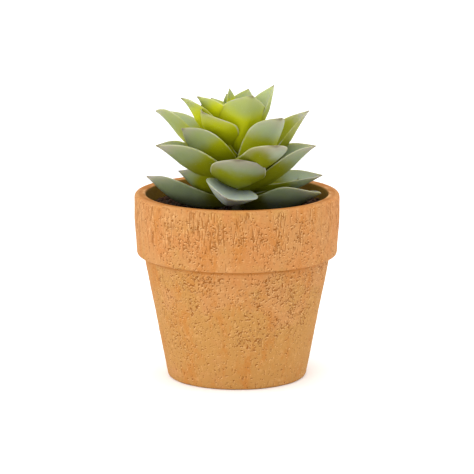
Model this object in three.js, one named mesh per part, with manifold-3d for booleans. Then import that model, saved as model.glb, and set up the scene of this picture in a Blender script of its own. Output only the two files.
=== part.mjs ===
// A succulent rosette growing in a small collared clay pot. Millimetres, +Z up.
// The origin is the centre of the pot's base, and the front of the plant faces -Y.
import * as THREE from "three";
import { ParametricGeometry } from "three/addons/geometries/ParametricGeometry.js";
import { mergeVertices } from "three/addons/utils/BufferGeometryUtils.js";
import Module from "manifold-3d";

const wasm = await Module();
wasm.setup();

const MERGE_DISTANCE = 1e-4;

// Pot: outside
const POT_HEIGHT = 58.8;
const RIM_RADIUS = 32.5;
const COLLAR_BOTTOM = 39.4;
const COLLAR_FOOT_RADIUS = 31.7;
const COLLAR_STRAIGHT = 8;
const BODY_TOP_RADIUS = 29.6;
const BASE_RADIUS = 22;
const BASE_RECESS_RADIUS = 16;
const BASE_RECESS_DEPTH = 0.8;

// Pot: inside
const MOUTH_RADIUS = 28.85;
const MOUTH_LIP_DEPTH = 6;
const MOUTH_LIP_TAPER = 1;
const FLOOR_THICKNESS = 5.5;
const FLOOR_RADIUS = 18.6;
const POT_SEGMENTS = 64;
const CORNER_STEPS = 2;

// Soil
const GAP = 0.3;
const SOIL_TOP = 54.5;
const SOIL_DISH_DEPTH = 2.6;
const SOIL_DISH_INNER = 12;
const SOIL_DISH_OUTER = 25;
const SOIL_RINGS = 11;
const SOIL_SEGMENTS = 44;
const CRUMB_RELIEF = 0.6;
const SOIL_SEED = 11;

// Stem
const STEM_RADIUS = 2.4;
const STEM_FOOT = 30;
const STEM_TOP = 79;
const STEM_TIP_RADIUS = 1.1;
const STEM_SEGMENTS = 14;

// Leaf section and outline
const ROOT_DEPTH = 1;
const EDGE_THICKNESS = 0.6;
const WIDEST_AT = 0.58;
const CUP_POWER = 1.65;
const KEEL_POWER = 1.35;
const EDGE_POWER = 8;
const LEAF_SLICES = 8;
const LEAF_STACKS = 9;
const LEAF_DEFAULTS = {
  thickness: 2, arch: 0.06, recurve: 0.04, roll: 0, cup: 0.55, sway: 0, neck: 0.45, blunt: 2.3,
};

// The leaves that face the front, from the lowest whorl to the heart.
// azimuth: degrees from the front towards the right. root and tip: heights above the base.
// reach: distance of the tip from the axis. width: widest spread of the blade.
// arch and recurve: sag of the inner and flare of the outer midrib, as shares of the length.
// roll: degrees by which the right-hand edge is lifted. cup: rise of the edges. sway: sideways bow.
// thickness: flesh over the midrib. neck: share of the width at the root. blunt: roundness of the tip.
const FRONT_LEAVES = [
  {
    azimuth: -6, root: 60.3, reach: 25, tip: 61.5, width: 17, thickness: 3.2,
    roll: -19, cup: 0.34, arch: 0, recurve: -0.04, sway: -0.03, blunt: 2.6,
  },
  { azimuth: 80, root: 55, reach: 27, tip: 59.5, width: 18, roll: -18, cup: 0.45, arch: 0.09, sway: 0.07 },
  {
    azimuth: -102, root: 56.3, reach: 29.5, tip: 63, width: 15.7,
    roll: 17, arch: 0.12, sway: 0.06, neck: 0.15,
  },
  {
    azimuth: -91, root: 59.5, reach: 18.6, tip: 65.8, width: 14,
    roll: 12, arch: 0.07, recurve: 0, sway: 0.06, neck: 0.4,
  },
  { azimuth: 106, root: 60.5, reach: 28.5, tip: 63, width: 14.5, roll: 2, cup: 0.45, recurve: 0, sway: 0.03 },
  { azimuth: -71, root: 61.8, reach: 27, tip: 75.5, width: 17.5, cup: 0.6, arch: 0.035, sway: 0.04 },
  { azimuth: 88, root: 59.5, reach: 25, tip: 74, width: 16, roll: 6, cup: 0.6, recurve: 0.08, sway: -0.06 },
  {
    azimuth: 1, root: 64, reach: 19.5, tip: 73, width: 17.3,
    roll: -4, cup: 0.25, arch: 0.2, recurve: 0.07, blunt: 4,
  },
  { azimuth: -114, root: 66, reach: 28.5, tip: 83, width: 14, roll: 10, cup: 0.7, recurve: 0.13, sway: 0.07 },
  { azimuth: 113, root: 62, reach: 25, tip: 83.5, width: 14, roll: -3, cup: 0.5, recurve: 0.08, sway: -0.03 },
  {
    azimuth: -70, root: 67.5, reach: 18.5, tip: 80.5, width: 16.5,
    roll: 25, cup: 0.22, arch: 0.07, sway: 0.1, neck: 0.3,
  },
  {
    azimuth: 28.5, root: 68.8, reach: 25.5, tip: 77.9, width: 13.8,
    roll: -6, cup: 0.36, arch: 0.125, recurve: 0.02, neck: 0.7, blunt: 4.5,
  },
  {
    azimuth: 45, root: 65.5, reach: 19.5, tip: 85, width: 14,
    roll: -7, cup: 0.6, arch: 0.14, recurve: 0.11, blunt: 3.5,
  },
  { azimuth: -46, root: 73.5, reach: 15, tip: 86.5, width: 17, roll: -13, cup: 0.6, recurve: 0, sway: -0.07 },
  { azimuth: -73, root: 70.5, reach: 18.5, tip: 90, width: 11, arch: 0.05, recurve: 0.1 },
  { azimuth: 111, root: 73.5, reach: 12.5, tip: 92.5, width: 13, cup: 0.4, arch: 0.04, sway: -0.05 },
  { azimuth: 25, root: 72.5, reach: 11.5, tip: 91.5, width: 16, roll: -8, cup: 0.6, arch: 0.09, sway: -0.04 },
  { azimuth: -64, root: 76, reach: 14, tip: 90.5, width: 12, roll: 3, recurve: 0.1 },
  { azimuth: 149, root: 77.5, reach: 7, tip: 91, width: 9, roll: -2, cup: 0.65 },
  { azimuth: -149, root: 76.5, reach: 4.5, tip: 91.5, width: 4 },
  { azimuth: -150, root: 77, reach: 6.5, tip: 89.5, width: 6 },
  { azimuth: -115, root: 77, reach: 9, tip: 88.5, width: 9 },
];

// The back of each whorl and the closed heart, with a small seeded drift from leaf to leaf.
const BACK_SEED = 5;
const BACK_DRIFT = { azimuth: 4, reach: 0.8, tip: 0.8, width: 0.6, roll: 6 };
const BACK_WHORLS = [
  { azimuths: [134, 178, -150], root: 57, reach: 26.5, tip: 60.5, width: 16 },
  { azimuths: [156, -172], root: 60, reach: 26, tip: 65, width: 15.5 },
  { azimuths: [149, -152], root: 61, reach: 25, tip: 72.5, width: 16.5 },
  { azimuths: [-178], root: 65, reach: 23.5, tip: 79, width: 15 },
  { azimuths: [157, -142], root: 69, reach: 16.5, tip: 81, width: 13.5 },
  { azimuths: [175], root: 73.5, reach: 12, tip: 86, width: 11.5 },
  { azimuths: [60, -30, -170], root: 77, reach: 3.5, tip: 87, width: 5.5 },
];

// Numbers from 0 to 1 that come out the same for the same seed.
function seededRandom(seed) {
  let state = seed;
  return () => {
    state = (state * 1664525 + 1013904223) % 4294967296;
    return state / 4294967296;
  };
}

function sharedCorners(geometry) {
  geometry.deleteAttribute("normal");
  geometry.deleteAttribute("uv");
  return mergeVertices(geometry, MERGE_DISTANCE);
}

// Turns a closed geometry into a solid: shared corners are merged and flat triangles dropped.
function toSolid(geometry) {
  const merged = sharedCorners(geometry);
  const corners = [];
  for (let i = 0; i < merged.index.count; i += 3) {
    const [a, b, c] = [0, 1, 2].map((k) => merged.index.getX(i + k));
    if (a !== b && b !== c && c !== a) {
      corners.push(a, b, c);
    }
  }
  const vertProperties = new Float32Array(merged.attributes.position.array);
  const triVerts = new Uint32Array(corners);
  return new wasm.Manifold(new wasm.Mesh({ numProp: 3, vertProperties, triVerts }));
}

function toMesh(name, solid, material) {
  const { vertProperties, triVerts } = solid.getMesh();
  const geometry = new THREE.BufferGeometry();
  geometry.setAttribute("position", new THREE.BufferAttribute(vertProperties, 3));
  geometry.setIndex(new THREE.BufferAttribute(triVerts, 1));
  geometry.computeVertexNormals();
  const mesh = new THREE.Mesh(geometry, material);
  mesh.name = name;
  return mesh;
}

// Revolves a profile of [radius, height, corner rounding] about +Z.
function turned(corners, segments) {
  const points = corners.map(([radius, height]) => new THREE.Vector2(radius, height));
  const path = new THREE.Path();
  path.moveTo(points[0].x, points[0].y);
  corners.slice(1, -1).forEach(([, , rounding], i) => {
    const [before, corner, after] = points.slice(i, i + 3);
    if (rounding) {
      const start = before.clone().sub(corner).setLength(rounding).add(corner);
      const end = after.clone().sub(corner).setLength(rounding).add(corner);
      path.lineTo(start.x, start.y);
      path.quadraticCurveTo(corner.x, corner.y, end.x, end.y);
    } else {
      path.lineTo(corner.x, corner.y);
    }
  });
  const last = points[points.length - 1];
  path.lineTo(last.x, last.y);
  const geometry = new THREE.LatheGeometry(path.getPoints(CORNER_STEPS), segments);
  return geometry.rotateX(Math.PI / 2);
}

// Inner wall of the pot, grown inwards by a clearance: the pot's own wall at 0, the soil's at GAP.
function innerWall(clearance) {
  const lipRadius = MOUTH_RADIUS - MOUTH_LIP_TAPER;
  return {
    floor: FLOOR_THICKNESS + clearance,
    floorRadius: FLOOR_RADIUS - clearance,
    lip: POT_HEIGHT - MOUTH_LIP_DEPTH,
    lipRadius: lipRadius - clearance,
  };
}

function pot() {
  const inner = innerWall(0);
  const profile = [
    [0, BASE_RECESS_DEPTH],
    [BASE_RECESS_RADIUS, BASE_RECESS_DEPTH, 0.5],
    [BASE_RECESS_RADIUS + 1, 0, 0.4],
    [BASE_RADIUS, 0, 1],
    [BODY_TOP_RADIUS, COLLAR_BOTTOM, 0.5],
    [COLLAR_FOOT_RADIUS, COLLAR_BOTTOM, 0.9],
    [RIM_RADIUS, POT_HEIGHT - COLLAR_STRAIGHT],
    [RIM_RADIUS, POT_HEIGHT, 1.2],
    [MOUTH_RADIUS, POT_HEIGHT, 0.6],
    [inner.lipRadius, inner.lip],
    [inner.floorRadius, inner.floor, 1.5],
    [0, inner.floor],
  ];
  return toSolid(turned(profile, POT_SEGMENTS));
}

// Soil fills the pot. Its top dips round the stem and is raised in crumbs, and a plain hole takes the stem.
function soil() {
  const inner = innerWall(GAP);
  const rise = (SOIL_TOP - inner.lip) / MOUTH_LIP_DEPTH;
  const topRadius = inner.lipRadius + rise * MOUTH_LIP_TAPER;
  const profile = [
    [0, inner.floor],
    [inner.floorRadius, inner.floor, 1.5],
    [inner.lipRadius, inner.lip],
    [topRadius, SOIL_TOP - CRUMB_RELIEF],
  ];
  for (let ring = 1; ring <= SOIL_RINGS; ring += 1) {
    profile.push([topRadius * (1 - ring / SOIL_RINGS), SOIL_TOP]);
  }
  const geometry = sharedCorners(turned(profile, SOIL_SEGMENTS));
  const random = seededRandom(SOIL_SEED);
  const position = geometry.attributes.position;
  for (let i = 0; i < position.count; i += 1) {
    if (position.getZ(i) > SOIL_TOP - CRUMB_RELIEF / 2) {
      const radius = Math.hypot(position.getX(i), position.getY(i));
      const level = THREE.MathUtils.smoothstep(radius, SOIL_DISH_INNER, SOIL_DISH_OUTER) - 1;
      position.setZ(i, SOIL_TOP + SOIL_DISH_DEPTH * level + CRUMB_RELIEF * (2 * random() - 1));
    }
  }
  const hole = stemGeometry(STEM_RADIUS + GAP, STEM_RADIUS + GAP, STEM_FOOT - GAP, STEM_TOP);
  return toSolid(geometry).subtract(toSolid(hole));
}

// An upright post with a wider foot, used for the stem and for its hole.
function stemGeometry(footRadius, topRadius, foot, top) {
  const geometry = new THREE.CylinderGeometry(topRadius, footRadius, top - foot, STEM_SEGMENTS);
  return geometry.rotateX(Math.PI / 2).translate(0, 0, (foot + top) / 2);
}

// Share of the full width at a distance along the leaf, from 0 at the root to 1 at the tip.
function widthShare(along, { neck, blunt }) {
  if (along < WIDEST_AT) {
    const swell = Math.sin((Math.PI / 2) * (along / WIDEST_AT)) ** 1.1;
    return neck + (1 - neck) * swell;
  }
  const rest = (along - WIDEST_AT) / (1 - WIDEST_AT);
  return (1 - rest ** blunt) ** 1.12;
}

// Thickness of the blade over its midrib, fullest in the middle and thin at the tip.
function bladeThickness(along, fullThickness) {
  const belly = 0.6 + 0.4 * Math.sin(Math.PI * Math.min(along / 0.9, 1));
  const taper = Math.min(Math.max((1 - along) / 0.35, 0.12), 1) ** 0.7;
  return fullThickness * belly * taper;
}

// The midrib leaves the stem sagging and flares outwards towards its tip.
function midrib(leaf) {
  const azimuth = THREE.MathUtils.degToRad(leaf.azimuth);
  const outward = new THREE.Vector3(Math.sin(azimuth), -Math.cos(azimuth), 0);
  const side = new THREE.Vector3(Math.cos(azimuth), Math.sin(azimuth), 0);
  const root = outward.clone().multiplyScalar(ROOT_DEPTH).setZ(leaf.root);
  const tip = outward.clone().multiplyScalar(leaf.reach).setZ(leaf.tip);
  const chord = tip.clone().sub(root);
  const bend = 1.5 * chord.length();
  const up = new THREE.Vector3().crossVectors(chord, side).normalize();
  const controls = [1, 2].map((third) => {
    const sag = leaf.arch - (third - 1) * leaf.recurve;
    return root.clone().addScaledVector(chord, third / 3)
      .addScaledVector(up, -sag * bend).addScaledVector(side, leaf.sway * bend);
  });
  return { curve: new THREE.CubicBezierCurve3(root, ...controls, tip), side };
}

// A cupped blade with a keel below, wrapped round its midrib from a closed root to a closed tip.
function leafGeometry(leaf) {
  const { curve, side } = midrib(leaf);
  const roll = THREE.MathUtils.degToRad(leaf.roll);
  const blade = (turn, run, target) => {
    const along = Math.max(0, (run * LEAF_STACKS - 1) / (LEAF_STACKS - 1));
    const tangent = curve.getTangent(along);
    const up = new THREE.Vector3().crossVectors(tangent, side).normalize();
    const right = new THREE.Vector3().crossVectors(up, tangent);
    const rolledRight = right.clone().multiplyScalar(Math.cos(roll)).addScaledVector(up, Math.sin(roll));
    const rolledUp = right.clone().multiplyScalar(-Math.sin(roll)).addScaledVector(up, Math.cos(roll));
    const halfWidth = (widthShare(along, leaf) * leaf.width) / 2;
    const across = Math.cos(2 * Math.PI * turn);
    const reach = Math.abs(across);
    const thickness = bladeThickness(along, leaf.thickness);
    const edge = Math.min(EDGE_THICKNESS, thickness);
    const top = leaf.cup * halfWidth * reach ** CUP_POWER - 0.5 * edge * reach ** EDGE_POWER;
    const body = thickness - (thickness - edge) * reach ** KEEL_POWER;
    const below = turn > 0.5 ? body * Math.sqrt(Math.max(0, 1 - reach ** EDGE_POWER)) : 0;
    const open = run > 0 && run < 1 ? 1 : 0;
    target.copy(curve.getPoint(along));
    target.addScaledVector(rolledRight, open * across * halfWidth);
    target.addScaledVector(rolledUp, open * (top - below));
  };
  return new ParametricGeometry(blade, LEAF_SLICES, LEAF_STACKS);
}

function backLeaves() {
  const random = seededRandom(BACK_SEED);
  return BACK_WHORLS.flatMap(({ azimuths, ...habit }) => azimuths.map((azimuth) => {
    const leaf = { ...LEAF_DEFAULTS, ...habit, azimuth };
    for (const [key, drift] of Object.entries(BACK_DRIFT)) {
      leaf[key] += drift * (2 * random() - 1);
    }
    return leaf;
  }));
}

// The largest body of a fused solid, with the hollows filled that its pieces sealed between them.
function largestBody(solid) {
  return solid.decompose().reduce((largest, body) => (body.volume() > largest.volume() ? body : largest));
}

// Stem and leaves grow as one body.
function rosette() {
  const frontLeaves = FRONT_LEAVES.map((leaf) => ({ ...LEAF_DEFAULTS, ...leaf }));
  const stem = toSolid(stemGeometry(STEM_RADIUS, STEM_TIP_RADIUS, STEM_FOOT, STEM_TOP));
  const plant = [...frontLeaves, ...backLeaves()].reduce(
    (grown, leaf) => grown.add(toSolid(leafGeometry(leaf))),
    stem,
  );
  return largestBody(plant);
}

const clay = new THREE.MeshStandardMaterial({ color: 0xd8965c, roughness: 0.85, metalness: 0 });
const earth = new THREE.MeshStandardMaterial({ color: 0x3a2416, roughness: 1, metalness: 0 });
const foliage = new THREE.MeshStandardMaterial({ color: 0x93a568, roughness: 0.5, metalness: 0 });

const plantInPot = new THREE.Group();
plantInPot.add(toMesh("pot", pot(), clay));
plantInPot.add(toMesh("soil", soil(), earth));
plantInPot.add(toMesh("rosette", rosette(), foliage));

export default plantInPot;
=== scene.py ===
"""A succulent rosette in a small collared clay pot, dressed for close views.

Every piece is built in metres, in the frame of the construction model: +Z is up, the origin is the
centre of the pot's base, and the front of the plant faces -Y.
"""

import logging
import math
import random
from collections.abc import Callable, Iterable, Iterator
from dataclasses import dataclass, field, replace
from enum import Enum
from typing import NamedTuple

import bmesh
import bpy
from mathutils import Matrix, Vector, noise


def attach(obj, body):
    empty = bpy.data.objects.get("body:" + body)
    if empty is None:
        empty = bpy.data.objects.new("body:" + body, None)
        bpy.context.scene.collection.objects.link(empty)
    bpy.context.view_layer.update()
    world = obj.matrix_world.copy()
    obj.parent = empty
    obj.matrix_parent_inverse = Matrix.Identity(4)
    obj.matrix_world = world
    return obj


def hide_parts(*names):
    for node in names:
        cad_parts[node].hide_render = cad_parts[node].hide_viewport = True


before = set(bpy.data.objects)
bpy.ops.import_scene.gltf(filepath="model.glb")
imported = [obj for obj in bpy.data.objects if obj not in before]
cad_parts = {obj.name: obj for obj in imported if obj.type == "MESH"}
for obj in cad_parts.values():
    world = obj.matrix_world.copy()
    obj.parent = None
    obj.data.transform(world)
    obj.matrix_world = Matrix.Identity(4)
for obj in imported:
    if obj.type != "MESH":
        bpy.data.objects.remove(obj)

MM = 0.001
BODY = "root"
Colour = tuple[float, float, float]
Axes = tuple[float, float, float]
log = logging.getLogger("potted_sedum")


class Mottle(NamedTuple):
    """Smooth noise: the size of its patches, how many finer layers it has, and how strong they are."""

    pitch: float
    detail: float = 2.0
    rough: float = 0.5


class Ease(NamedTuple):
    """A smooth change from the first number to the last while a value goes from low to high."""

    low: float
    high: float
    first: float = 0.0
    last: float = 1.0


class Zone(Enum):
    """The stretches of the pot's wall, each with its own mesh spacing in millimetres."""

    OUTSIDE = 0.45
    RIM = 0.4
    MOUTH = 1.0
    HIDDEN = 6.0


def smoothstep(value: float, low: float, high: float) -> float:
    """Eases from 0 at low to 1 at high.

    Args:
        value: The number to ease.
        low: Where the easing starts.
        high: Where it ends.

    Returns:
        A share from 0 to 1.
    """
    share = min(max((value - low) / (high - low), 0.0), 1.0)
    return share * share * (3.0 - 2.0 * share)


def outward(azimuth: float) -> Vector:
    """The level direction at an azimuth in degrees, counted from the front towards the right."""
    turn = math.radians(azimuth)
    return Vector((math.sin(turn), -math.cos(turn), 0.0))


def sideways(azimuth: float) -> Vector:
    """The level direction to the right of a leaf that points at an azimuth in degrees."""
    return outward(azimuth + 90.0)


def finish_mesh(
    bm: bmesh.types.BMesh, name: str, material: bpy.types.Material, unit: float = MM
) -> bpy.types.Object:
    """Closes a mesh under construction and makes it a smooth piece of the object.

    Args:
        bm: The mesh, which is freed.
        name: The piece's name.
        material: Its finish.
        unit: The mesh's unit in metres.

    Returns:
        The new object, standing at the origin with its place in its mesh.
    """
    bmesh.ops.scale(bm, vec=(unit, unit, unit), verts=bm.verts)
    bmesh.ops.recalc_face_normals(bm, faces=bm.faces)
    mesh = bpy.data.meshes.new(name)
    bm.to_mesh(mesh)
    bm.free()
    mesh.polygons.foreach_set("use_smooth", [True] * len(mesh.polygons))
    mesh.materials.append(material)
    piece = bpy.data.objects.new(name, mesh)
    bpy.context.scene.collection.objects.link(piece)
    return piece


def revolve(bm: bmesh.types.BMesh, section: list, sectors: int, segments: int) -> None:
    """Turns an open section about the upright axis into a closed body.

    One sector is spun finely, then repeated round the axis, which is far quicker than one fine full turn.

    Args:
        bm: The mesh that holds the section.
        section: The section's points and edges.
        sectors: How many sectors make the full turn.
        segments: How many flats the full turn has, a multiple of sectors.
    """
    turn = math.tau / sectors
    centre, axis = (0.0, 0.0, 0.0), (0.0, 0.0, 1.0)
    bmesh.ops.spin(bm, geom=section, cent=centre, axis=axis, angle=turn, steps=segments // sectors)
    whole = bm.verts[:] + bm.edges[:] + bm.faces[:]
    bmesh.ops.spin(
        bm, geom=whole, cent=centre, axis=axis, angle=math.tau - turn, steps=sectors - 1, use_duplicate=True
    )
    bmesh.ops.remove_doubles(bm, verts=bm.verts, dist=0.001)


def absorb(bm: bmesh.types.BMesh, part: bmesh.types.BMesh) -> None:
    """Adds a part to the mesh that it belongs to.

    Args:
        bm: The mesh that grows.
        part: The part, which is freed.
    """
    mesh = bpy.data.meshes.new("part")
    part.to_mesh(mesh)
    part.free()
    bm.from_mesh(mesh)
    bpy.data.meshes.remove(mesh)


class Recipe:
    """A material under construction. Its methods add nodes and return the outputs to link."""

    def __init__(self, name: str) -> None:
        """Starts a material that holds one plain Principled shader."""
        self.material = bpy.data.materials.new(name)
        self.material.use_nodes = True
        self.tree = self.material.node_tree
        self.shader = self.tree.nodes["Principled BSDF"]

    def add(self, kind: str, inputs: dict | None = None, **settings: object) -> bpy.types.Node:
        """Adds a node.

        Args:
            kind: Its type, without the prefix ShaderNode.
            inputs: Values or outputs for its sockets, by name or number.
            **settings: Its own properties.

        Returns:
            The node.
        """
        node = self.tree.nodes.new("ShaderNode" + kind)
        for key, value in settings.items():
            setattr(node, key, value)
        for key, value in (inputs or {}).items():
            self.feed(node.inputs[key], value)
        return node

    def feed(self, socket: bpy.types.NodeSocket, value: object) -> None:
        """Links an output to a socket, or sets the socket to a value."""
        if isinstance(value, bpy.types.NodeSocket):
            self.tree.links.new(value, socket)
        elif isinstance(value, tuple) and socket.type == "RGBA":
            socket.default_value = (*value, 1.0)
        else:
            socket.default_value = value

    def finish(self, **sockets: object) -> bpy.types.Material:
        """Feeds the shader's sockets, whose names are given with _ for a space.

        Returns:
            The finished material.
        """
        for key, value in sockets.items():
            self.feed(self.shader.inputs[key.replace("_", " ")], value)
        return self.material

    def place(self, stretch: Axes = (1.0, 1.0, 1.0)) -> bpy.types.NodeSocket:
        """The object's own coordinates in millimetres, each axis multiplied by a stretch."""
        scale = tuple(share / MM for share in stretch)
        source = self.add("TexCoord").outputs["Object"]
        return self.add("Mapping", {"Vector": source, "Scale": scale}).outputs["Vector"]

    def mottle(self, vector: object, kind: Mottle) -> object:
        """Smooth noise from 0 to 1 that follows some coordinates, whose unit is that of its pitch."""
        scale = 1.0 / kind.pitch
        values = {"Vector": vector, "Scale": scale, "Detail": kind.detail, "Roughness": kind.rough}
        return self.add("TexNoise", values).outputs[0]

    def ease(self, value: object, change: Ease) -> object:
        """Runs a value through a smooth change."""
        values = {0: value, 1: change.low, 2: change.high, 3: change.first, 4: change.last}
        return self.add("MapRange", values, interpolation_type="SMOOTHSTEP").outputs[0]

    def maths(self, operation: str, first: object, second: object = 0.0) -> object:
        """One arithmetic step on two values."""
        return self.add("Math", {0: first, 1: second}, operation=operation).outputs[0]

    def product(self, *values: object) -> object:
        """All the values multiplied together."""
        total = values[0]
        for value in values[1:]:
            total = self.maths("MULTIPLY", total, value)
        return total

    def mix(self, share: object, first: object, second: object) -> object:
        """Blends two colours by a share of the second."""
        return self.add("Mix", {0: share, 6: first, 7: second}, data_type="RGBA").outputs[2]

    def attribute(self, name: str) -> bpy.types.Node:
        """The node that reads one of the mesh's own attributes."""
        return self.add("Attribute", attribute_name=name)

    def parts(self, vector: object) -> list:
        """The three parts of a vector."""
        return list(self.add("SeparateXYZ", {0: vector}).outputs)

    def relief(self, height: object, depth: float, strength: float = 1.0) -> object:
        """A bumped normal.

        Args:
            height: The relief, from 0 to 1.
            depth: The height that 1 stands for, in millimetres.
            strength: How much of it shows.

        Returns:
            The normal output.
        """
        values = {"Height": height, "Distance": depth * MM, "Strength": strength}
        return self.add("Bump", values).outputs["Normal"]


@dataclass(frozen=True)
class ClayFinish:
    """Sandy fired clay: soft blotches, crowded pits and upright scratches. Painted shade lies inside the
    pits and cuts, under the collar's overhang and on the inner wall; painted highlights lie on the lit side
    of each pit and cut and along the rim's inner edge.

    Pitches and steps are in millimetres. The steps lead from a pit and from a cut to its painted highlight.
    rarity is how far below a noise's middle pits and cuts start on sound clay, and crowding is how much
    nearer to it they start on worn clay. A share is how far a kind of mark hides the clay.
    """

    ember: Colour = (0.462, 0.19, 0.054)
    sand: Colour = (0.455, 0.212, 0.068)
    ochre: Colour = (0.425, 0.208, 0.054)
    stain: Colour = (0.43, 0.158, 0.026)
    # The shaded colour is painted shadow under the collar's overhang.
    shaded: Colour = (0.37, 0.135, 0.022)
    # Light sand grains, and the colour of the painted highlights.
    pale_sand_and_highlight: Colour = (0.78, 0.46, 0.20)
    # Painted shade inside the pits and cuts.
    hollow_shade: Colour = (0.24, 0.07, 0.002)
    # Painted shade for the inner wall inside the pot.
    inner_wall_shade: Colour = (0.21, 0.115, 0.006)

    height_drift: Ease = Ease(8.0, 48.0, 0.15, -0.1)
    blotches: Mottle = Mottle(14.0, 3.0, 0.6)
    blotch_edge: Ease = Ease(0.4, 0.6)
    warmth: Mottle = Mottle(9.0, 4.0, 0.6)
    warmth_stretch: Axes = (1.0, 1.0, 0.6)
    warmth_edge: Ease = Ease(0.5, 0.72)
    stains: Mottle = Mottle(6.0, 4.0, 0.7)
    stain_stretch: Axes = (1.0, 1.0, 0.4)
    stain_edge: Ease = Ease(0.48, 0.68, 0.0, 0.7)
    sand_grain: Mottle = Mottle(1.8, 4.0, 0.7)
    sand_paling: Ease = Ease(0.5, 0.75, 0.0, 0.25)
    sand_roughness: Ease = Ease(0.3, 0.7, 0.75, 0.9)
    sand_relief: float = 0.6

    pits: Mottle = Mottle(0.72, 2.0, 0.6)
    pit_highlight_step: Axes = (-0.12, 0.0, 0.26)
    cuts: Mottle = Mottle(0.6, 2.0, 0.6)
    cut_stretch: Axes = (1.0, 1.0, 0.2)
    cut_highlight_step: Axes = (-0.26, -0.1, 0.0)
    rarity: float = 0.17
    crowding: float = 0.145
    # How strongly the painted highlight along the rim's inner edge shows.
    rim_highlight_share: float = 0.75
    pit_highlight_share: float = 0.5
    cut_highlight_share: float = 0.3
    hole_share: float = 0.1
    pit_share: float = 0.88
    cut_share: float = 0.62
    cut_depth: float = 0.7
    relief: float = 0.2
    relief_strength: float = 0.8
    shine: float = 0.2

    def body(self, recipe: Recipe, place: object) -> object:
        """The clay's own colour: warm above, ochre below, in soft blotches and a few upright stains."""
        level = recipe.ease(recipe.parts(place)[2], self.height_drift)
        blotch = recipe.maths("ADD", recipe.mottle(place, self.blotches), level)
        warmth = recipe.mottle(recipe.place(self.warmth_stretch), self.warmth)
        stain = recipe.mottle(recipe.place(self.stain_stretch), self.stains)
        colour = recipe.mix(recipe.ease(blotch, self.blotch_edge), self.sand, self.ochre)
        warmth = recipe.ease(recipe.maths("SUBTRACT", warmth, level), self.warmth_edge)
        colour = recipe.mix(warmth, colour, self.ember)
        return recipe.mix(recipe.ease(stain, self.stain_edge), colour, self.stain)

    def marks(self, recipe: Recipe, place: object, kind: Mottle, crowd: object) -> object:
        """The low spots of a noise, wider and more of them the more crowded they are.

        Args:
            recipe: The material under construction.
            place: The coordinates that they follow.
            kind: The noise.
            crowd: How crowded they are, from 0 to 1.

        Returns:
            A mask, 1 inside.
        """
        shift = recipe.product(crowd, self.crowding)
        depth = recipe.maths("SUBTRACT", recipe.mottle(place, kind), shift)
        return recipe.ease(depth, Ease(0.5 - self.rarity, 0.45 - self.rarity))

    def material(self) -> bpy.types.Material:
        """Builds the clay, which reads the pot's marks from its mesh."""
        recipe = Recipe("fired_clay")
        place = recipe.place()
        upright = recipe.place(self.cut_stretch)
        wear, brushed, pitted, rim_highlight, inner_wall_shade, collar_shadow = (
            recipe.attribute(name).outputs["Fac"] for name in ClayPot.marks
        )
        above, beside = (
            recipe.add("Mapping", {"Vector": vector, "Location": step}).outputs[0]
            for vector, step in ((place, self.pit_highlight_step), (upright, self.cut_highlight_step))
        )
        pits, pit_highlights = (self.marks(recipe, vector, self.pits, wear) for vector in (place, above))
        cuts, cut_highlights = (self.marks(recipe, vector, self.cuts, brushed) for vector in (upright, beside))
        sandy = recipe.mottle(place, self.sand_grain)
        colour = self.body(recipe, place)
        colour = recipe.mix(recipe.ease(sandy, self.sand_paling), colour, self.pale_sand_and_highlight)
        # Light masks paint highlights along the rim's inner edge and on the lit side of each pit and cut;
        # dark masks paint shade inside the pressed pits, the pits and the cuts.
        light = ((rim_highlight, self.rim_highlight_share), (pit_highlights, self.pit_highlight_share), (cut_highlights, self.cut_highlight_share))
        dark = ((pitted, self.hole_share), (pits, self.pit_share), (cuts, self.cut_share))
        for paint, masks in ((self.pale_sand_and_highlight, light), (self.hollow_shade, dark)):
            for mask, share in masks:
                colour = recipe.mix(recipe.product(mask, share), colour, paint)
        # Painted shadow under the collar's overhang.
        colour = recipe.mix(collar_shadow, colour, self.shaded)
        # Painted shade darkens the inner wall inside the pot.
        colour = recipe.mix(inner_wall_shade, colour, self.inner_wall_shade)
        sunk = recipe.maths("MAXIMUM", pits, recipe.product(cuts, self.cut_depth))
        height = recipe.maths("SUBTRACT", recipe.product(sandy, self.sand_relief), sunk)
        return recipe.finish(
            Base_Color=colour,
            Roughness=recipe.ease(sandy, self.sand_roughness),
            Specular_IOR_Level=self.shine,
            Normal=recipe.relief(height, self.relief, self.relief_strength),
        )


@dataclass(frozen=True)
class EarthFinish:
    """Dark, moist potting soil. The grain's pitch and the relief are in millimetres."""

    dark: Colour = (0.024, 0.013, 0.007)
    brown: Colour = (0.12, 0.052, 0.027)
    grain: Mottle = Mottle(0.9, 5.0, 0.7)
    grain_edge: Ease = Ease(0.35, 0.7)
    roughness: Ease = Ease(0.3, 0.7, 0.8, 1.0)
    relief: float = 0.5
    shine: float = 0.2

    def material(self, name: str) -> bpy.types.Material:
        """Builds the soil's finish under a name."""
        recipe = Recipe(name)
        grain = recipe.mottle(recipe.place(), self.grain)
        return recipe.finish(
            Base_Color=recipe.mix(recipe.ease(grain, self.grain_edge), self.dark, self.brown),
            Roughness=recipe.ease(grain, self.roughness),
            Specular_IOR_Level=self.shine,
            Normal=recipe.relief(grain, self.relief),
        )


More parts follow.
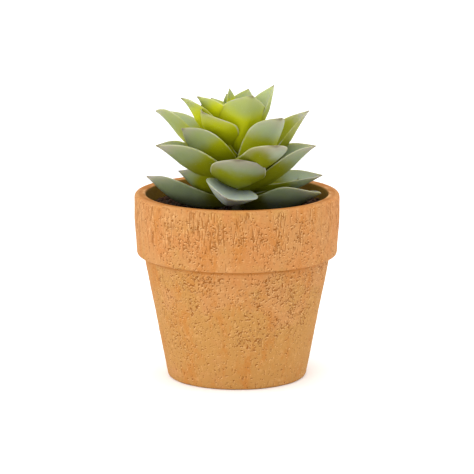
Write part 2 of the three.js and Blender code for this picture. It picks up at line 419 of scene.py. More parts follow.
@dataclass(frozen=True)
class LeafFinish:
    """Waxy leaf skin: lime flesh at the root, a grey-green bloom outwards and lilac points, with painted
    highlights on the rims, the channel and the upper faces, and painted shade darkening the roots of old
    leaves and the leaves low down near the soil.

    Pitches and heights are in millimetres. Places on a leaf are shares of its length and half width.
    """

    lime: Colour = (0.47, 0.50, 0.002)
    # The old leaves' own root tone, made darker as painted shade where the leaves crowd.
    olive_and_shade: Colour = (0.13, 0.14, 0.002)
    bloom: Colour = (0.15, 0.19, 0.075)
    fresh: Colour = (0.32, 0.365, 0.09)
    frost: Colour = (0.43, 0.50, 0.43)
    lilac: Colour = (0.30, 0.263, 0.233)
    # The rim colour is a painted highlight, on the rims and down the channel.
    rim: Colour = (0.38, 0.385, 0.29)
    point: Colour = (0.12, 0.09, 0.075)
    # Painted shade for the lowest stretches of the leaves, near the soil.
    low_shade: Colour = (0.02, 0.019, 0.005)

    clouds: Mottle = Mottle(6.0, 3.0)
    cloud_drift: float = 0.18
    cloud_roughness: Ease = Ease(0.3, 0.7, 0.45, 0.62)
    grain: Mottle = Mottle(0.5, 3.0, 0.6)
    grain_frost: Ease = Ease(0.6, 0.8, 0.0, 0.2)
    grain_relief: float = 0.12
    # Painted sheen on the upper faces, in the bloom's colour.
    upper_sheen: Ease = Ease(0.3, 0.8)
    upper_sheen_share: float = 0.25
    lime_edge: Ease = Ease(-0.11, 0.09)
    ageing: Ease = Ease(0.0, 1.0, 1.0, 0.35)
    lilac_end: Ease = Ease(0.76, 1.02)
    lilac_end_share: float = 0.9
    lilac_side: Ease = Ease(0.6, 1.0)
    lilac_reach: Ease = Ease(0.5, 0.9)
    lilac_side_share: float = 0.5
    rim_patches: Mottle = Mottle(3.5)
    rim_patch_edge: Ease = Ease(0.38, 0.62, 0.15, 0.8)
    rim_side: Ease = Ease(0.95, 0.99)
    point_end: Ease = Ease(0.94, 0.99, 0.0, 0.85)
    channel_side: Ease = Ease(0.2, 0.0)
    channel_reach: Ease = Ease(0.3, 0.9)
    channel_share: float = 0.45
    low_shade_height: Ease = Ease(59.5, 55.5, 0.0, 0.65)
    relief: float = 0.15
    shine: float = 0.12
    glow: float = 0.3
    glow_radii: Colour = (1.0, 1.05, 0.1)
    glow_depth: float = 2.0

    def material(self) -> bpy.types.Material:
        """Builds the skin. The mesh gives it site (along, across, upper) and habit (youth, lime, frost)."""
        recipe = Recipe("leaf_skin")
        along, across, upper = recipe.parts(recipe.attribute("site").outputs["Vector"])
        youth, lime_reach, frosted = recipe.parts(recipe.attribute("habit").outputs["Vector"])
        place = recipe.place()
        edge = recipe.maths("ABSOLUTE", across)
        cloud = recipe.mottle(place, self.clouds)
        grain = recipe.mottle(place, self.grain)
        drift = recipe.product(recipe.maths("SUBTRACT", cloud, 0.5), self.cloud_drift)
        reached = recipe.maths("ADD", along, drift)
        # Old leaves' roots: their own tone, darkened further as painted shade.
        flesh = recipe.mix(youth, self.olive_and_shade, self.lime)
        skin = recipe.mix(frosted, recipe.mix(youth, self.bloom, self.fresh), self.frost)
        # Painted sheen: the upper faces are made paler towards the tip.
        upper_sheen_mask = recipe.product(upper, recipe.ease(along, self.upper_sheen), self.upper_sheen_share)
        skin = recipe.mix(upper_sheen_mask, skin, self.frost)
        run = recipe.maths("SUBTRACT", reached, lime_reach)
        colour = recipe.mix(recipe.ease(run, self.lime_edge), flesh, skin)
        aged = recipe.ease(youth, self.ageing)
        ends = recipe.product(recipe.ease(reached, self.lilac_end), aged, self.lilac_end_share)
        colour = recipe.mix(ends, colour, self.lilac)
        side, reach = recipe.ease(edge, self.lilac_side), recipe.ease(reached, self.lilac_reach)
        colour = recipe.mix(recipe.product(side, reach, aged, self.lilac_side_share), colour, self.lilac)
        # Painted highlight: a light line along the rims, in patches.
        patchy = recipe.ease(recipe.mottle(place, self.rim_patches), self.rim_patch_edge)
        colour = recipe.mix(recipe.product(recipe.ease(edge, self.rim_side), patchy), colour, self.rim)
        colour = recipe.mix(recipe.ease(along, self.point_end), colour, self.point)
        colour = recipe.mix(recipe.ease(grain, self.grain_frost), colour, self.frost)
        # Painted highlight: a light line down the channel of each upper face.
        side, reach = recipe.ease(edge, self.channel_side), recipe.ease(along, self.channel_reach)
        channel = recipe.product(side, reach, self.channel_share)
        colour = recipe.mix(recipe.product(upper, channel), colour, self.rim)
        # Painted shade: the leaves darken the lower they reach towards the soil.
        colour = recipe.mix(recipe.ease(recipe.parts(place)[2], self.low_shade_height), colour, self.low_shade)
        height = recipe.maths("ADD", cloud, recipe.product(grain, self.grain_relief))
        return recipe.finish(
            Base_Color=colour,
            Roughness=recipe.ease(cloud, self.cloud_roughness),
            Specular_IOR_Level=self.shine,
            Subsurface_Weight=self.glow,
            Subsurface_Radius=self.glow_radii,
            Subsurface_Scale=self.glow_depth * MM,
            Normal=recipe.relief(height, self.relief),
        )


@dataclass(frozen=True)
class StemFinish:
    """A woody brown-green stem that turns lime in the heart of the rosette, in millimetres. Its brown and
    green are made darker than the stem's own colour, as painted shade under the leaves.
    """

    # Darker than the bark's own colour: painted shade under the leaves.
    bark: Colour = (0.027, 0.02, 0.008)
    green: Colour = (0.046, 0.05, 0.009)
    lime: Colour = (0.42, 0.45, 0.004)
    scars: Mottle = Mottle(1.6, 3.0)
    scar_stretch: Axes = (0.4, 0.4, 2.0)
    scar_edge: Ease = Ease(0.4, 0.65)
    young_height: Ease = Ease(70.0, 77.0)
    roughness: float = 0.75
    relief: float = 0.3

    def material(self) -> bpy.types.Material:
        """Builds the bark, ringed by old leaf scars."""
        recipe = Recipe("stem_bark")
        ring = recipe.mottle(recipe.place(self.scar_stretch), self.scars)
        colour = recipe.mix(recipe.ease(ring, self.scar_edge), self.bark, self.green)
        young = recipe.ease(recipe.parts(recipe.place())[2], self.young_height)
        return recipe.finish(
            Base_Color=recipe.mix(young, colour, self.lime),
            Roughness=self.roughness,
            Normal=recipe.relief(ring, self.relief),
        )


@dataclass(frozen=True)
class FloorFinish:
    """Pale studio paper, whose fibres have a pitch in millimetres."""

    paper: Colour = (0.96, 0.96, 0.96)
    fibre: Colour = (0.94, 0.94, 0.94)
    fibres: Mottle = Mottle(3.0, 4.0)
    roughness: float = 0.9

    def material(self) -> bpy.types.Material:
        """Builds the paper."""
        recipe = Recipe("studio_paper")
        fibre = recipe.mottle(recipe.place(), self.fibres)
        return recipe.finish(Base_Color=recipe.mix(fibre, self.paper, self.fibre), Roughness=self.roughness)


@dataclass(frozen=True)
class Corner:
    """A corner of the pot's section, in millimetres, and the stretch of wall that leads to it."""

    radius: float
    height: float
    rounding: float = 0.0
    zone: Zone = Zone.OUTSIDE


@dataclass(frozen=True)
class WornPatch:
    """A patch of the outside where pits crowd: its middle and its reach, in degrees and millimetres."""

    azimuth: float
    height: float
    half_turn: float
    half_height: float
    strength: float = 1.0

    def share(self, azimuth: float, height: float) -> float:
        """How strongly the patch covers a place, from 0 to its strength."""
        turn = (azimuth - self.azimuth + 180.0) % 360.0 - 180.0
        away = math.hypot(turn / self.half_turn, (height - self.height) / self.half_height)
        return self.strength * (1.0 - smoothstep(away, 0.3, 1.2))


@dataclass
class ClayPot:
    """The tapered, collared pot, in millimetres."""

    height: float = 58.8
    rim_radius: float = 32.5
    collar_bottom: float = 39.4
    collar_foot_radius: float = 31.7
    collar_straight: float = 8.0
    body_top_radius: float = 29.6
    base_radius: float = 22.0
    recess_radius: float = 16.0
    recess_depth: float = 0.8
    mouth_radius: float = 28.85
    lip_radius: float = 29.2
    lip_depth: float = 6.0
    lip_taper: float = 1.0
    floor_thickness: float = 5.5
    floor_radius: float = 18.6
    sectors: int = 8
    segments: int = 504
    corner_steps: int = 5
    unevenness: float = 0.2
    pit_depth: float = 0.25
    least_wear: float = 0.2
    least_brushing: float = 0.15
    patches: tuple[WornPatch, ...] = (
        WornPatch(24, 31, 34, 11),
        WornPatch(40, 24, 26, 9, 0.9),
        WornPatch(12, 18, 22, 8, 0.75),
        WornPatch(-24, 34.5, 30, 5, 0.95),
        WornPatch(-24, 25, 20, 8, 0.7),
        WornPatch(-54, 27, 16, 14, 0.7),
        WornPatch(-48, 13, 26, 7, 0.5),
        WornPatch(60, 33, 30, 12, 0.7),
        WornPatch(-32, 46, 22, 9, 0.7),
        WornPatch(-20, 53, 36, 4, 0.65),
        WornPatch(24, 51, 50, 7, 0.7),
        WornPatch(30, 44, 40, 5, 0.6),
        WornPatch(120, 30, 50, 14, 0.8),
        WornPatch(-140, 22, 44, 12, 0.8),
        WornPatch(150, 49, 60, 8, 0.65),
        WornPatch(-120, 50, 40, 8, 0.6),
    )
    marks = ("wear", "brushed", "pitted", "rim_highlight", "inner_wall_shade", "collar_shadow")

    def section(self) -> list[Corner]:
        """The closed wall's corners, from the middle of the recess round to the middle of the floor."""
        lip = self.height - self.lip_depth
        return [
            Corner(0.0, self.recess_depth),
            Corner(self.recess_radius, self.recess_depth, 0.5, Zone.HIDDEN),
            Corner(self.recess_radius + 1.0, 0.0, 0.4, Zone.HIDDEN),
            Corner(self.base_radius, 0.0, 1.0, Zone.HIDDEN),
            Corner(self.body_top_radius, self.collar_bottom, 0.5),
            Corner(self.collar_foot_radius, self.collar_bottom, 0.9),
            Corner(self.rim_radius, self.height - self.collar_straight),
            Corner(self.rim_radius, self.height, 1.2),
            Corner(self.mouth_radius, self.height, 0.6, Zone.RIM),
            Corner(self.mouth_radius - self.lip_taper, lip, 0.0, Zone.MOUTH),
            Corner(self.floor_radius, self.floor_thickness, 1.5, Zone.HIDDEN),
            Corner(0.0, self.floor_thickness, 0.0, Zone.HIDDEN),
        ]

    def outline(self) -> Iterator[Vector]:
        """Yields the section's points in order, with round corners and even steps between them."""
        corners = self.section()
        points = [Vector((corner.radius, 0.0, corner.height)) for corner in corners]
        last = points[0]
        yield last
        for i in range(1, len(corners)):
            corner, point = corners[i], points[i]
            start = point + (points[i - 1] - point).normalized() * corner.rounding
            steps = max(1, round((start - last).length / corner.zone.value))
            for step in range(1, steps + 1):
                yield last.lerp(start, step / steps)
            last = start
            if corner.rounding > 0.0:
                end = point + (points[i + 1] - point).normalized() * corner.rounding
                for step in range(1, self.corner_steps + 1):
                    share = step / self.corner_steps
                    yield start.lerp(point, share).lerp(point.lerp(end, share), share)
                last = end

    def outside(self, radius: float, height: float) -> float:
        """How surely a point lies on the outside, from 0 on the inner wall to 1."""
        if height > self.collar_bottom:
            return smoothstep(radius, self.lip_radius, self.lip_radius + 1.0)
        flare = (self.body_top_radius - self.base_radius) / self.collar_bottom
        wall = self.base_radius + flare * height
        return smoothstep(radius, wall - 1.5, wall - 0.8)

    def inner_marks(self, height: float) -> dict[str, float]:
        """Painted shade on the inner wall above the collar's bottom, fading out at the rim's top."""
        if height <= self.collar_bottom:
            return {}
        # Painted shade inside the pot, full below the rim's top.
        return {"inner_wall_shade": smoothstep(height, self.height - 0.05, self.height - 0.5)}

    def outer_marks(self, place: Vector, radius: float) -> dict[str, float]:
        """The marks on the outside at a point, each from 0 to 1.

        Args:
            place: The point.
            radius: Its distance from the axis.

        Returns:
            The share of each mark that is found there.
        """
        clear = smoothstep(place.z, self.height + 0.3, self.height - 0.9)
        wear = clear * self.wear(place)
        inner_edge = smoothstep(radius, self.mouth_radius + 1.6, self.mouth_radius + 0.5)
        rim_top = smoothstep(place.z, self.height - 0.9, self.height - 0.3)
        return {
            "wear": wear,
            "brushed": clear * self.brushed(place),
            "pitted": wear * self.pitted(place, wear),
            # Painted highlight along the rim's inner edge, on its top.
            "rim_highlight": inner_edge * rim_top * smoothstep(noise.noise(place * 0.2), -0.3, 0.2),
            # Painted shadow under the collar.
            "collar_shadow": self.collar_shadow(place, radius),
        }

    def collar(self, height: float) -> float:
        """1 on the collar and 0 on the body below it."""
        return smoothstep(height, self.collar_bottom - 0.4, self.collar_bottom + 0.4)

    def wear(self, place: Vector) -> float:
        """How worn the outside is: a little everywhere, and in clumps over the worn patches."""
        azimuth = math.degrees(math.atan2(place.x, -place.y))
        patch = min(1.0, max(patch.share(azimuth, place.z) for patch in self.patches))
        clumps = smoothstep(noise.noise(place * 0.4), -0.3, 0.15)
        return self.least_wear + (1.0 - self.least_wear) * patch * (0.35 + 0.65 * clumps)

    def brushed(self, place: Vector) -> float:
        """How scratched the outside is: mostly on the upper collar, in upright tufts."""
        tufts = smoothstep(noise.noise(Vector((place.x, place.y, 0.25 * place.z)) * 0.25), -0.35, 0.25)
        upper = smoothstep(place.z, self.collar_bottom + 2.0, self.height - self.collar_straight)
        most = self.collar(place.z) * upper * tufts
        return self.least_brushing + (1.0 - self.least_brushing) * most

    def pitted(self, place: Vector, wear: float) -> float:
        """Where a pit is pressed into the clay, wider where it is worn and taller on the collar."""
        holes = noise.noise(place * Vector((1.1, 1.1, 1.1 - 0.6 * self.collar(place.z))))
        return smoothstep(holes + 0.25 * wear, 0.25, 0.5)

    def collar_shadow(self, place: Vector, radius: float) -> float:
        """Painted shadow: the broken dark line on the body just under the collar's overhang."""
        under = smoothstep(place.z, self.collar_bottom - 1.5, self.collar_bottom - 0.3)
        foot = smoothstep(radius, self.collar_foot_radius - 0.3, self.collar_foot_radius - 0.9)
        broken = smoothstep(noise.noise(Vector((place.x, place.y, 0.0)) * 0.16), -0.45, 0.3)
        return under * foot * (0.25 + 0.75 * broken)

    def weather(self, bm: bmesh.types.BMesh) -> None:
        """Marks the wall, and presses hollows and pits into its outside."""
        layers = {name: bm.verts.layers.float.new(name) for name in self.marks}
        for vert in bm.verts:
            place = vert.co.copy()
            radius = math.hypot(place.x, place.y)
            outside = self.outside(radius, place.z)
            found = self.outer_marks(place, radius) if outside > 0.0 else self.inner_marks(place.z)
            for name, share in found.items():
                vert[layers[name]] = share
            if outside > 0.0:
                sway = 0.5 + 0.5 * noise.noise(place * 0.12) + 0.25 * noise.noise(place * 0.5)
                push = self.unevenness * min(max(sway, 0.0), 1.0) + self.pit_depth * found["pitted"]
                vert.co -= Vector((place.x, place.y, 0.0)) / radius * push * outside

    def build(self, finish: ClayFinish) -> bpy.types.Object:
        """Turns the section round the axis and weathers it.

        Args:
            finish: The clay.

        Returns:
            The pot.
        """
        bm = bmesh.new()
        ring = [bm.verts.new(point) for point in self.outline()]
        edges = [bm.edges.new(pair) for pair in zip(ring, ring[1:])]
        revolve(bm, ring + edges, self.sectors, self.segments)
        self.weather(bm)
        pot = finish_mesh(bm, "clay_pot", finish.material())
        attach(pot, BODY)
        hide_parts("pot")
        return pot


@dataclass
class PottingSoil:
    """The soil and the loose crumbs on it, in millimetres."""

    pot: ClayPot
    gap: float = 0.3
    top: float = 54.5
    edge_drop: float = 0.3
    dish_depth: float = 2.6
    dish_inner: float = 12.0
    dish_outer: float = 25.0
    relief: float = 0.6
    hole_radius: float = 2.7
    hole_floor: float = 29.7
    sectors: int = 6
    segments: int = 180
    rings: int = 64
    crumbs: int = 1500
    crumb_radii: tuple[float, float] = (0.22, 1.0)
    coarse_crumb: float = 0.5
    clear_of_stem: float = 4.0
    clear_of_wall: float = 0.2
    handful: int = 60
    seed: int = 11

    def top_radius(self) -> float:
        """The radius of the soil where it meets the wall."""
        lip = self.pot.height - self.pot.lip_depth
        rise = (self.top - lip) / self.pot.lip_depth
        return self.pot.mouth_radius - self.pot.lip_taper * (1.0 - rise) - self.gap

    def level(self, place: Vector) -> float:
        """The height of the soil's surface over a point of the floor."""
        radius = math.hypot(place.x, place.y)
        dish = self.dish_depth * (smoothstep(radius, self.dish_inner, self.dish_outer) - 1.0)
        flat = Vector((place.x, place.y, 0.0))
        lumps = noise.noise(flat * 0.45) + 0.6 * noise.noise(flat * 1.3 + Vector((7.0, 3.0, 1.0)))
        return self.top + dish + self.relief * min(max(lumps, -1.0), 1.0)

    def bed(self, finish: EarthFinish) -> bpy.types.Object:
        """Turns the filling of the pot, roughens its top, and leaves the stem's hole open."""
        floor = self.pot.floor_thickness + self.gap
        lip = self.pot.height - self.pot.lip_depth
        lip_radius = self.pot.mouth_radius - self.pot.lip_taper - self.gap
        outer = self.top_radius()
        bottom = [(self.hole_radius, self.hole_floor), (0.0, self.hole_floor)]
        section = [(0.0, floor), (self.pot.floor_radius - self.gap, floor), (lip_radius, lip)]
        rim = [(outer, self.top - self.edge_drop)]
        step = (outer - self.hole_radius) / self.rings
        across = [(outer - step * ring, self.top) for ring in range(self.rings + 1)]
        bm = bmesh.new()
        ring = [bm.verts.new((radius, 0.0, height)) for radius, height in section + rim + across + bottom]
        edges = [bm.edges.new(pair) for pair in zip(ring, ring[1:])]
        revolve(bm, ring + edges, self.sectors, self.segments)
        for vert in bm.verts:
            if vert.co.z > self.top - self.edge_drop / 2.0:
                vert.co.z = self.level(vert.co)
        return finish_mesh(bm, "potting_soil", finish.material("soil"))

    def crumb(self, bm: bmesh.types.BMesh, draw: random.Random) -> None:
        """Adds one crumb, partly sunk in the bed. The larger ones are made of more faces."""
        smallest, largest = self.crumb_radii
        size = smallest + (largest - smallest) * draw.random() ** 2.5
        furthest = self.top_radius() - size - self.clear_of_wall
        radius = math.sqrt(draw.uniform(self.clear_of_stem**2, furthest**2))
        place = outward(draw.uniform(-180.0, 180.0)) * radius
        place.z = self.level(place) + 0.25 * size
        turn = Matrix.Rotation(draw.uniform(0.0, math.tau), 4, Vector((draw.random(), draw.random(), 1.0)))
        shape = Matrix.Diagonal((size, size * draw.uniform(0.6, 1.0), size * draw.uniform(0.5, 0.9), 1.0))
        whole = Matrix.Translation(place) @ turn @ shape
        finer = 2 if size > self.coarse_crumb else 1
        ball = bmesh.ops.create_icosphere(bm, subdivisions=finer, radius=1.0, matrix=whole)
        for vert in ball["verts"]:
            vert.co += (vert.co - place) * 0.5 * noise.noise(vert.co * 1.7)

    def litter(self, finish: EarthFinish) -> bpy.types.Object:
        """Scatters crumbs by the handful."""
        draw = random.Random(self.seed)
        bm = bmesh.new()
        for _ in range(self.crumbs // self.handful):
            handful = bmesh.new()
            for _ in range(self.handful):
                self.crumb(handful, draw)
            absorb(bm, handful)
        return finish_mesh(bm, "soil_crumbs", finish.material("crumbs"))

    def build(self, finish: EarthFinish) -> list[bpy.types.Object]:
        """Builds the bed and its crumbs.

        Args:
            finish: The soil's finish.

        Returns:
            Both pieces.
        """
        pieces = [self.bed(finish), self.litter(finish)]
        for piece in pieces:
            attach(piece, BODY)
        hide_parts("soil")
        return pieces


@dataclass(frozen=True)
class Leaf:
    """One thick, cupped and pointed leaf.

    azimuth is in degrees from the front towards the right; root and tip are heights, reach is the tip's
    distance from the axis, and width and thickness are the blade's, all in millimetres. arch and recurve
    are the sag of the inner and the flare of the outer midrib and sway is its sideways bow, as shares of
    its length. roll is how many degrees the right-hand edge is lifted, and cup is the rise of both edges.
    neck is the width of the root as a share of the blade's, and a larger blunt gives a rounder tip.
    youth, lime and frost are shares for the skin's colours, and slant is how much further the lime
    reaches along the left-hand edge than along the midrib.
    """

    azimuth: float
    root: float
    reach: float
    tip: float
    width: float
    thickness: float = 2.0
    arch: float = 0.06
    recurve: float = 0.04
    roll: float = 0.0
    cup: float = 0.55
    sway: float = 0.0
    neck: float = 0.45
    blunt: float = 2.3
    youth: float = 0.5
    lime: float = 0.4
    frost: float = 0.0
    slant: float = 0.0

    root_depth = 1.0
    edge_thickness = 0.5
    widest_at = 0.58
    around = 40
    stacks = 56

    def width_share(self, along: float) -> float:
        """The share of the full width at a distance along the leaf, from 0 at the root to 1 at the tip."""
        if along < self.widest_at:
            swell = math.sin(math.pi / 2.0 * along / self.widest_at) ** 1.1
            return self.neck + (1.0 - self.neck) * swell
        rest = min(1.0, (along - self.widest_at) / (1.0 - self.widest_at))
        return (1.0 - rest**self.blunt) ** 1.12

    def flesh(self, along: float) -> float:
        """The blade's thickness over its midrib, fullest in the middle and thin at the tip."""
        belly = 0.6 + 0.4 * math.sin(math.pi * min(along / 0.9, 1.0))
        taper = min(max((1.0 - along) / 0.35, 0.12), 1.0) ** 0.7
        return min(self.thickness * belly * taper, 0.8 * self.width * self.width_share(along) + 0.05)

    def midrib(self) -> Callable[[float], tuple[Vector, Vector]]:
        """A function that gives the midrib's point and direction at a distance along it."""
        root = outward(self.azimuth) * self.root_depth + Vector((0.0, 0.0, self.root))
        tip = outward(self.azimuth) * self.reach + Vector((0.0, 0.0, self.tip))
        chord = tip - root
        bend = 1.5 * chord.length
        side = sideways(self.azimuth)
        up = chord.cross(side).normalized()
        bow = side * self.sway * bend
        inner = root + chord / 3.0 - up * self.arch * bend + bow
        outer = root + chord * 2.0 / 3.0 - up * (self.arch - self.recurve) * bend + bow

        def at(along: float) -> tuple[Vector, Vector]:
            """The point and the direction on the curve through root, inner, outer and tip."""
            first = root.lerp(inner, along), inner.lerp(outer, along), outer.lerp(tip, along)
            second = first[0].lerp(first[1], along), first[1].lerp(first[2], along)
            return second[0].lerp(second[1], along), (second[1] - second[0]).normalized()

        return at

    def grow(self) -> bmesh.types.BMesh:
        """Wraps a ball round the midrib and marks each point with its site and the leaf's habit."""
        bm = bmesh.new()
        site = bm.verts.layers.float_vector.new("site")
        habit = bm.verts.layers.float_vector.new("habit")
        ball = bmesh.ops.create_uvsphere(bm, u_segments=self.around, v_segments=self.stacks, radius=1.0)
        midrib, side, roll = self.midrib(), sideways(self.azimuth), math.radians(self.roll)
        for vert in ball["verts"]:
            stack = round(math.acos(min(max(vert.co.z, -1.0), 1.0)) / math.pi * self.stacks)
            along = max(0.0, (stack - 1) / (self.stacks - 1))
            turn = math.atan2(vert.co.y, vert.co.x)
            across, upper = math.cos(turn), turn >= -1e-6
            centre, ahead = midrib(along)
            up = ahead.cross(side).normalized()
            right = up.cross(ahead)
            rolled_right = right * math.cos(roll) + up * math.sin(roll)
            rolled_up = up * math.cos(roll) - right * math.sin(roll)
            half = self.width_share(along) * self.width / 2.0
            flesh, reach = self.flesh(along), abs(across)
            edge = min(self.edge_thickness, flesh)
            lift = self.cup * half * reach**1.65 - 0.5 * edge * reach**8
            if not upper:
                lift -= (flesh - (flesh - edge) * reach**1.35) * math.sqrt(max(0.0, 1.0 - reach**8))
            inside = 1.0 if 0 < stack < self.stacks else 0.0
            vert.co = centre + (rolled_right * across * half + rolled_up * lift) * inside
            vert[site] = (along, across, 1.0 if upper else 0.0)
            vert[habit] = (self.youth, self.lime - self.slant * across, self.frost)
        return bm


@dataclass(frozen=True)
class Ring:
    """Leaves that the photo hides and that share their sizes, with the azimuth of each."""

    azimuths: tuple[float, ...]
    habit: Leaf


@dataclass
class Rosette:
    """Stem and leaves, in millimetres. Those in the photo are set singly, and the hidden ones drift."""

    stem_radius: float = 2.4
    stem_tip_radius: float = 1.1
    stem_foot: float = 30.0
    stem_top: float = 79.0
    stem_sides: int = 32
    stem_rings: int = 60
    stem_grooves: float = 0.08
    seed: int = 5
    drift: dict[str, float] = field(
        default_factory=lambda: {"azimuth": 4.0, "reach": 0.8, "tip": 0.8, "width": 0.6, "roll": 6.0}
    )
    lowest: tuple[Leaf, ...] = (
        Leaf(-6, 60.3, 25, 61.5, 17, thickness=3.2, roll=-19, cup=0.34, arch=0, recurve=-0.04, sway=-0.03,
             blunt=2.6, youth=0, lime=-0.2, frost=1),
        Leaf(80, 55, 27, 59.5, 18, roll=-18, cup=0.45, arch=0.09, sway=0.07, youth=0, lime=0.3, frost=0.2),
        Leaf(-102, 56.3, 29.5, 63, 15.7, roll=17, arch=0.12, sway=0.06, neck=0.15,
             youth=0, lime=0.3, frost=0.15),
        Leaf(-91, 59.5, 18.6, 65.8, 14, roll=12, arch=0.07, recurve=0, sway=0.06, neck=0.4,
             youth=0.25, lime=0.68, frost=0.1),
        Leaf(106, 60.5, 28.5, 63, 14.5, roll=2, cup=0.45, recurve=0, sway=0.03,
             youth=0.2, lime=0.6, frost=0.3),
    )
    lower: tuple[Leaf, ...] = (
        Leaf(-71, 61.8, 27, 75.5, 17.5, cup=0.6, arch=0.035, sway=0.04, youth=0.2, lime=0.6, frost=0.08),
        Leaf(88, 59.5, 25, 74, 16, roll=6, cup=0.6, recurve=0.08, sway=-0.06,
             youth=0.15, lime=0.64, frost=0.2),
        Leaf(1, 64, 19.5, 73, 17.3, roll=-4, cup=0.25, arch=0.2, recurve=0.07, blunt=4,
             youth=0.2, lime=0.78, frost=0.2, slant=0.1),
    )
    middle: tuple[Leaf, ...] = (
        Leaf(-114, 66, 28.5, 83, 14, roll=10, cup=0.7, recurve=0.13, sway=0.07, youth=0.5, lime=0.62),
        Leaf(113, 62, 25, 83.5, 14, roll=-3, cup=0.5, recurve=0.08, sway=-0.03,
             youth=0.3, lime=0.9, frost=0.2),
        Leaf(-70, 67.5, 18.5, 80.5, 16.5, roll=25, cup=0.22, arch=0.07, sway=0.1, neck=0.3,
             youth=0.45, lime=0.62, frost=0.08),
        Leaf(28.5, 68.8, 25.5, 77.9, 13.8, roll=-6, cup=0.36, arch=0.125, recurve=0.02, neck=0.7, blunt=4.5,
             youth=0.15, lime=0.84, frost=0.5, slant=0.24),
        Leaf(45, 65.5, 19.5, 85, 14, roll=-7, cup=0.6, arch=0.14, recurve=0.11, blunt=3.5,
             youth=0.42, lime=0.72, frost=0.3),
    )
    upper: tuple[Leaf, ...] = (
        Leaf(-46, 73.5, 15, 86.5, 17, roll=-13, cup=0.6, recurve=0, sway=-0.07, youth=0.65, lime=0.96),
        Leaf(-73, 70.5, 18.5, 90, 11, arch=0.05, recurve=0.1, youth=0.9, lime=0.8),
        Leaf(111, 73.5, 12.5, 92.5, 13, cup=0.4, arch=0.04, sway=-0.05, youth=0.95, lime=0.55),
        Leaf(25, 72.5, 11.5, 91.5, 16, roll=-8, cup=0.6, arch=0.09, sway=-0.04, youth=0.8, lime=0.72),
        Leaf(-64, 76, 14, 90.5, 12, roll=3, recurve=0.1, youth=1, lime=0.78),
        Leaf(149, 77.5, 7, 91, 9, roll=-2, cup=0.65, youth=1, lime=0.4),
    )
    heart: tuple[Leaf, ...] = (
        Leaf(-149, 76.5, 4.5, 91.5, 4, youth=1, lime=0.8),
        Leaf(-150, 77, 6.5, 89.5, 6, youth=1, lime=0.62),
        Leaf(-115, 77, 9, 88.5, 9, youth=1, lime=0.8),
    )
    hidden: tuple[tuple[str, Ring], ...] = (
        ("lowest", Ring((134, 178, -150), Leaf(0, 57, 26.5, 60.5, 16, youth=0.1, lime=0.4, frost=0.2))),
        ("lowest", Ring((156, -172), Leaf(0, 60, 26, 65, 15.5, youth=0.2, lime=0.55, frost=0.15))),
        ("lower", Ring((149, -152), Leaf(0, 61, 25, 72.5, 16.5, youth=0.3, lime=0.65, frost=0.1))),
        ("lower", Ring((-178,), Leaf(0, 65, 23.5, 79, 15, youth=0.4, lime=0.65))),
        ("middle", Ring((157, -142), Leaf(0, 69, 16.5, 81, 13.5, youth=0.6, lime=0.75))),
        ("upper", Ring((175,), Leaf(0, 73.5, 12, 86, 11.5, youth=0.9, lime=0.8))),
        ("heart", Ring((60, -30, -170), Leaf(0, 77, 3.5, 87, 5.5, youth=1, lime=0.75))),
    )

    def draws(self) -> Iterator[float]:
        """Yields numbers from -1 to 1, the same ones each time."""
        factor, step, span = 1664525, 1013904223, 2**32
        state = self.seed
        while True:
            state = (state * factor + step) % span
            yield 2.0 * state / span - 1.0

    def whorls(self) -> dict[str, list[Leaf]]:
        """The leaves of each whorl, the photo's own first."""
        names = ("lowest", "lower", "middle", "upper", "heart")
        grown = {name: list(getattr(self, name)) for name in names}
        draw = self.draws()
        for name, ring in self.hidden:
            for azimuth in ring.azimuths:
                leaf = replace(ring.habit, azimuth=azimuth)
                moved = {key: getattr(leaf, key) + drift * next(draw) for key, drift in self.drift.items()}
                grown[name].append(replace(leaf, **moved))
        return grown

    def whorl(self, name: str, leaves: Iterable[Leaf], skin: bpy.types.Material) -> bpy.types.Object:
        """Grows one whorl of leaves."""
        bm = bmesh.new()
        for leaf in leaves:
            absorb(bm, leaf.grow())
        return finish_mesh(bm, f"leaves_{name}", skin)

    def stem(self, finish: StemFinish) -> bpy.types.Object:
        """Builds the tapered stem, with low rings where old leaves sat."""
        bm = bmesh.new()
        length = self.stem_top - self.stem_foot
        middle = Matrix.Translation((0.0, 0.0, self.stem_foot + length / 2.0))
        sides, foot, tip = self.stem_sides, self.stem_radius, self.stem_tip_radius
        bmesh.ops.create_cone(
            bm, cap_ends=True, segments=sides, radius1=foot, radius2=tip, depth=length, matrix=middle
        )
        upright = [edge for edge in bm.edges if abs(edge.verts[0].co.z - edge.verts[1].co.z) > length / 2.0]
        bmesh.ops.subdivide_edges(bm, edges=upright, cuts=self.stem_rings)
        for vert in bm.verts:
            level = Vector((vert.co.x, vert.co.y, 0.0))
            scars = 0.5 + 0.5 * noise.noise(vert.co * Vector((0.5, 0.5, 1.2)))
            vert.co -= level * self.stem_grooves * scars
        return finish_mesh(bm, "stem", finish.material())

    def build(self, skin: LeafFinish, bark: StemFinish) -> list[bpy.types.Object]:
        """Builds the stem and every whorl.

        Args:
            skin: The leaves' finish.
            bark: The stem's finish.

        Returns:
            The pieces, from the stem to the heart.
        """
        material = skin.material()
        pieces = [self.stem(bark)]
        pieces += [self.whorl(name, leaves, material) for name, leaves in self.whorls().items()]
        for piece in pieces:
            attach(piece, BODY)
            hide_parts("rosette")
        return pieces


@dataclass(frozen=True)
class SoftLight:
    """A square studio light: where it stands, what it looks at, its side and its power."""

    name: str
    place: Axes
    aim: Axes
    side: float
    watts: float
    colour: Colour = (1.0, 1.0, 1.0)

    def build(self) -> None:
        """Hangs the light."""
        lamp = bpy.data.lights.new(self.name, "AREA")
        lamp.shape, lamp.size, lamp.energy, lamp.color = "SQUARE", self.side, self.watts, self.colour
        light = bpy.data.objects.new(self.name, lamp)
        light.location = self.place
        light.rotation_euler = (Vector(self.aim) - Vector(self.place)).to_track_quat("-Z", "Y").to_euler()
        bpy.context.scene.collection.objects.link(light)


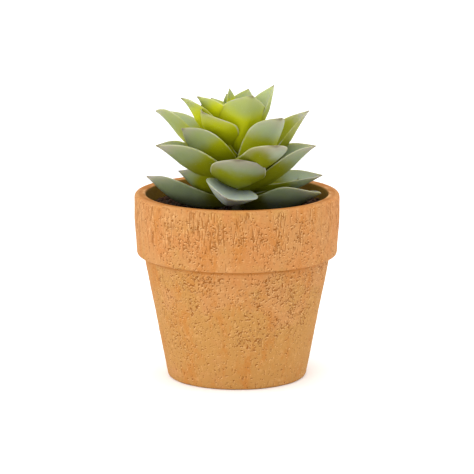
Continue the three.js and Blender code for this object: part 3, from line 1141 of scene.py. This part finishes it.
@dataclass
class Studio:
    """The floor, the light and the camera, in metres and degrees, with the lens in millimetres."""

    floor_side: float = 6.0
    sky: float = 0.9
    target: Axes = (0.0, 0.0, 0.0444)
    distance: float = 1.0
    elevation: float = 11.7
    lens: float = 239.9
    lights: tuple[SoftLight, ...] = (
        SoftLight("ceiling", (0.0, 0.3, 2.2), (0.0, 0.3, 0.0), 3.2, 36.0),
        SoftLight("front", (-0.5, -1.5, 0.8), (0.0, 0.0, 0.05), 1.2, 10.5),
        SoftLight("left", (-1.5, 0.1, 0.7), (0.0, 0.0, 0.05), 1.2, 9.0),
        SoftLight("right", (1.5, 0.3, 0.7), (0.0, 0.0, 0.05), 1.2, 8.0),
    )

    def floor(self, finish: FloorFinish) -> None:
        """Lays the floor."""
        bm = bmesh.new()
        bmesh.ops.create_grid(bm, x_segments=2, y_segments=2, size=self.floor_side / 2.0)
        floor = finish_mesh(bm, "floor", finish.material(), 1.0)

    def camera(self) -> None:
        """Stands the camera at the photograph's viewpoint."""
        back = outward(0.0) * math.cos(math.radians(self.elevation))
        back.z = math.sin(math.radians(self.elevation))
        camera = bpy.data.objects.new("camera", bpy.data.cameras.new("camera"))
        camera.data.lens = self.lens
        camera.location = Vector(self.target) + back * self.distance
        camera.rotation_euler = (-back).to_track_quat("-Z", "Y").to_euler()
        bpy.context.scene.collection.objects.link(camera)
        bpy.context.scene.camera = camera

    def build(self, finish: FloorFinish) -> None:
        """Builds the camera, the floor, the even sky and the lights."""
        self.camera()
        self.floor(finish)
        for light in self.lights:
            light.build()
        world = bpy.data.worlds.new("studio")
        world.use_nodes = True
        background = world.node_tree.nodes["Background"]
        background.inputs["Color"].default_value = (1.0, 1.0, 1.0, 1.0)
        background.inputs["Strength"].default_value = self.sky
        bpy.context.scene.world = world
        bpy.context.scene.view_settings.view_transform = "Standard"


def main() -> None:
    """Builds the pieces in order and logs the number of faces of each."""
    logging.basicConfig(level=logging.INFO, format="%(message)s")
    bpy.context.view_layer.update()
    Studio().build(FloorFinish())
    pot = ClayPot()
    pieces = [pot.build(ClayFinish())]
    pieces += PottingSoil(pot).build(EarthFinish())
    pieces += Rosette().build(LeafFinish(), StemFinish())
    for piece in pieces:
        log.info("%s: %d faces", piece.name, len(piece.data.polygons))


if __name__ == "__main__":
    main()
